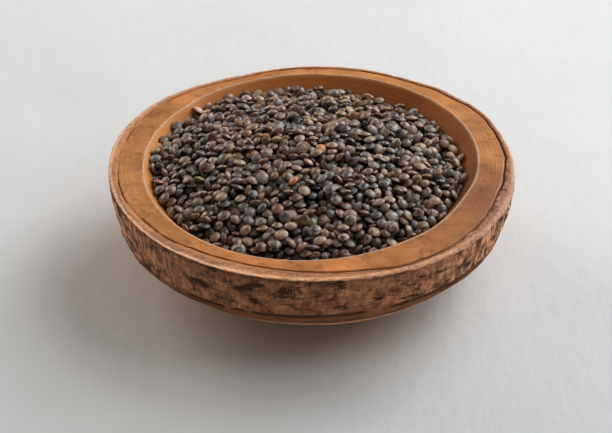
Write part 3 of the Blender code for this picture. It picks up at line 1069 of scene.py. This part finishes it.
class LENTILBOWL_OT_bowl(bpy.types.Operator):
    """Turn the wooden bowl, work it out of round and give it its bark"""

    bl_idname = "lentilbowl.bowl"
    bl_label = "Wooden Bowl"

    def execute(self, context):
        bowl = context.scene.lentilbowl_bowl
        outline = [(r, z) for _, r, z in bowl_outline(bowl)]
        piece = turned("wooden_bowl", outline, bowl.steps)
        work_bowl(piece, bowl)
        belongs(piece, "bowl", wood_finish(bowl))
        return {"FINISHED"}


class LENTILBOWL_OT_core(bpy.types.Operator):
    """Fill the hollow with the core, painted dark as shade, that the loose lentils lie on"""

    bl_idname = "lentilbowl.core"
    bl_label = "Core of the Heap"

    def execute(self, context):
        bowl, lentils = context.scene.lentilbowl_bowl, context.scene.lentilbowl_lentils
        top, side = core_outline(bowl, lentils)
        piece = turned("lentil_core", top + side, 160)
        work_core(piece, bowl, lentils)
        belongs(piece, "lentils", core_finish(lentils))
        return {"FINISHED"}


class LENTILBOWL_OT_lentils(bpy.types.Operator):
    """Drop the lentils, let them settle and gather them by kind"""

    bl_idname = "lentilbowl.lentils"
    bl_label = "Loose Lentils"

    def execute(self, context):
        bowl, lentils = context.scene.lentilbowl_bowl, context.scene.lentilbowl_lentils
        shapes = [model_lentil(lentils, *shape) for shape in LENTIL_SHAPES]
        resting = settled(lentils, bowl, shapes)
        if len(resting) < 20 * lentils.layers:
            raise RuntimeError(f"only {len(resting)} lentils came to rest in the bowl")
        depth_shades = buried(resting)
        draw = np.random.default_rng(lentils.seed + 1)
        shares = [share for _, share, _, _ in LENTIL_KINDS]
        kinds = draw.choice(len(LENTIL_KINDS), len(resting), p=shares)
        for number, (kind, _, speckle, edge_share) in enumerate(LENTIL_KINDS):
            name = f"lentils_{kind}"
            chosen = [pair for pair, its_kind in zip(zip(resting, depth_shades), kinds) if its_kind == number]
            piece = gather(name, shapes, chosen, draw)
            finish = lentil_finish(name, getattr(lentils, kind), speckle, edge_share)
            belongs(piece, "lentils", finish)
        for shape in shapes:
            bpy.data.objects.remove(shape)
        return {"FINISHED"}


class LENTILBOWL_OT_stage(bpy.types.Operator):
    """Set the pale floor, the window light and the camera"""

    bl_idname = "lentilbowl.stage"
    bl_label = "Stage"

    def execute(self, context):
        stage = context.scene.lentilbowl_stage
        scene = context.scene
        deselect_all()
        bpy.ops.mesh.primitive_plane_add(size=6, location=(0, 1, 0))
        floor = context.object
        floor.name = "floor"
        bpy.ops.object.transform_apply(location=True)
        floor.data.materials.append(plaster_finish(stage))

        middle = OPENING_SHIFT - outline_middle(scene.lentilbowl_bowl)
        target = Vector((*middle, RIM))
        tilt = stage.elevation
        camera = bpy.data.objects.new("camera", bpy.data.cameras.new("camera"))
        camera.data.lens = stage.lens
        camera.data.sensor_width = 36
        camera.data.clip_start = 0.01
        camera.location = target + stage.distance * Vector((0, -math.cos(tilt), math.sin(tilt)))
        camera.rotation_euler = (math.pi / 2 - tilt - stage.aim_below, 0, stage.aim_left)
        scene.collection.objects.link(camera)
        scene.camera = camera

        for direction, height, power, colour in PANELS:
            soft_light(target, math.radians(direction), math.radians(height), power, colour, stage)

        world = bpy.data.worlds.new("room")
        world.use_nodes = True
        background = world.node_tree.nodes["Background"]
        background.inputs["Color"].default_value = (1, 1, 1, 1)
        background.inputs["Strength"].default_value = stage.room
        scene.world = world
        scene.view_settings.view_transform = "Standard"
        return {"FINISHED"}


class LENTILBOWL_PT_panel(bpy.types.Panel):
    """Lists what can be made and its sizes and colours"""

    bl_idname = "LENTILBOWL_PT_panel"
    bl_label = "Lentil Bowl"
    bl_space_type = "VIEW_3D"
    bl_region_type = "UI"
    bl_category = "Lentil Bowl"

    def draw(self, context):
        for name, settings, operators in (
                ("Bowl", context.scene.lentilbowl_bowl, (LENTILBOWL_OT_bowl,)),
                ("Lentils", context.scene.lentilbowl_lentils, (LENTILBOWL_OT_core, LENTILBOWL_OT_lentils)),
                ("Stage", context.scene.lentilbowl_stage, (LENTILBOWL_OT_stage,))):
            box = self.layout.box()
            box.label(text=name)
            for key in settings.__annotations__:
                box.prop(settings, key)
            for operator in operators:
                box.operator(operator.bl_idname)


CLASSES = (BowlSettings, LentilSettings, StageSettings, LENTILBOWL_OT_bowl, LENTILBOWL_OT_core,
           LENTILBOWL_OT_lentils, LENTILBOWL_OT_stage, LENTILBOWL_PT_panel)


def register():
    for one in CLASSES:
        bpy.utils.register_class(one)
    bpy.types.Scene.lentilbowl_bowl = PointerProperty(type=BowlSettings)
    bpy.types.Scene.lentilbowl_lentils = PointerProperty(type=LentilSettings)
    bpy.types.Scene.lentilbowl_stage = PointerProperty(type=StageSettings)


def unregister():
    del bpy.types.Scene.lentilbowl_stage
    del bpy.types.Scene.lentilbowl_lentils
    del bpy.types.Scene.lentilbowl_bowl
    for one in reversed(CLASSES):
        bpy.utils.unregister_class(one)


def main():
    register()
    bpy.ops.lentilbowl.bowl()
    bpy.ops.lentilbowl.core()
    bpy.ops.lentilbowl.lentils()
    bpy.ops.lentilbowl.stage()


if __name__ == "__main__":
    main()
